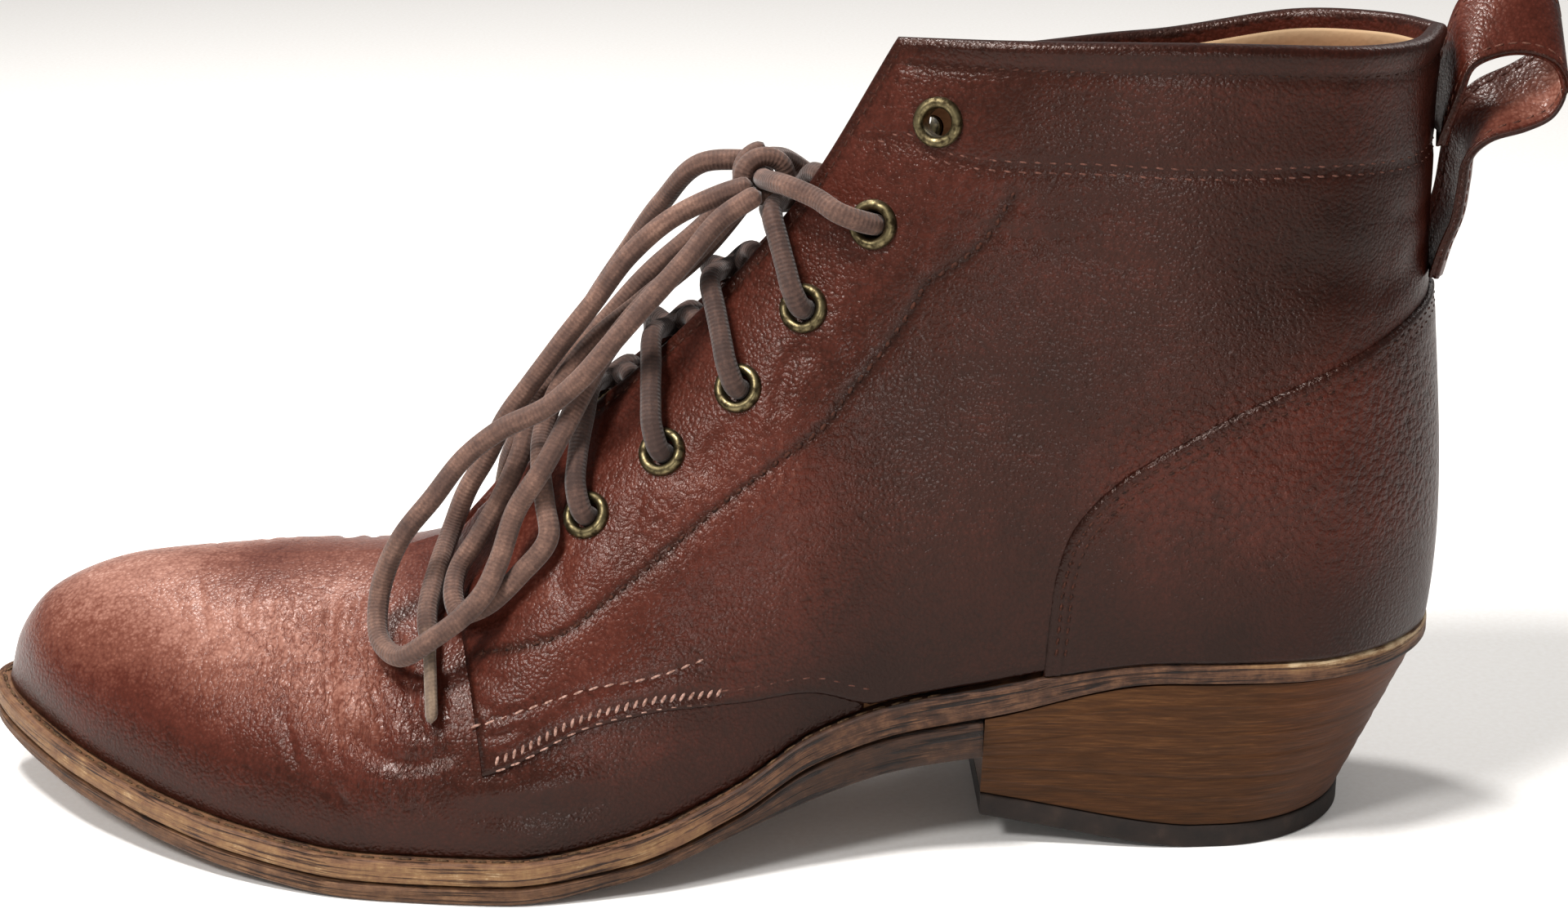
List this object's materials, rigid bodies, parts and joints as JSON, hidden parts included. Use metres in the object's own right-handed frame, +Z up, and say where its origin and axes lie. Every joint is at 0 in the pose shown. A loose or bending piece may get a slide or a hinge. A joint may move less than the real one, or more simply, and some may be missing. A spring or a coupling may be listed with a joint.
{
  "type": "ankle_boot",
  "caption": "Left lace up ankle boot in brown leather with a stitched leather sole, stacked low heel, brass eyelets and waxed lace",
  "frame": {"origin": "on the floor under the centre of the flat spot of the heel's top lift", "axes": "+Z up, toe towards -X, outer side of the foot towards -Y"},
  "size_m": [0.2921, 0.095, 0.1576],
  "materials": {
    "brown_leather": "satin, burnished at toe and heel",
    "tongue_leather": "satin",
    "midsole_leather": "matte, worn edge",
    "outsole_leather": "matte, worn edge",
    "insole_leather": "matte",
    "stacked_leather": "satin, fine layers",
    "heel_rubber": "matte",
    "antique_brass": "antique, worn",
    "waxed_lace": "matte, waxed"
  },
  "bodies": {
    "root": {"upper": "brown_leather", "tongue": "tongue_leather", "insole": "insole_leather", "midsole": "midsole_leather", "outsole": "outsole_leather", "heel_stack": "stacked_leather", "heel_top_lift": "heel_rubber", "pull_strap": "brown_leather", "eyelet_outer_1": "antique_brass", "eyelet_outer_2": "antique_brass", "eyelet_outer_3": "antique_brass", "eyelet_outer_4": "antique_brass", "eyelet_outer_5": "antique_brass", "eyelet_outer_6": "antique_brass", "eyelet_inner_1": "antique_brass", "eyelet_inner_2": "antique_brass", "eyelet_inner_3": "antique_brass", "eyelet_inner_4": "antique_brass", "eyelet_inner_5": "antique_brass", "eyelet_inner_6": "antique_brass", "lace_crossing_1": "waxed_lace", "lace_crossing_2": "waxed_lace", "lace_crossing_3": "waxed_lace", "lace_crossing_4": "waxed_lace", "lace_knot": "waxed_lace", "lace_loop_near": "waxed_lace", "lace_loop_far": "waxed_lace", "lace_end_near": "waxed_lace", "lace_end_far": "waxed_lace"}
  },
  "joints": []
}
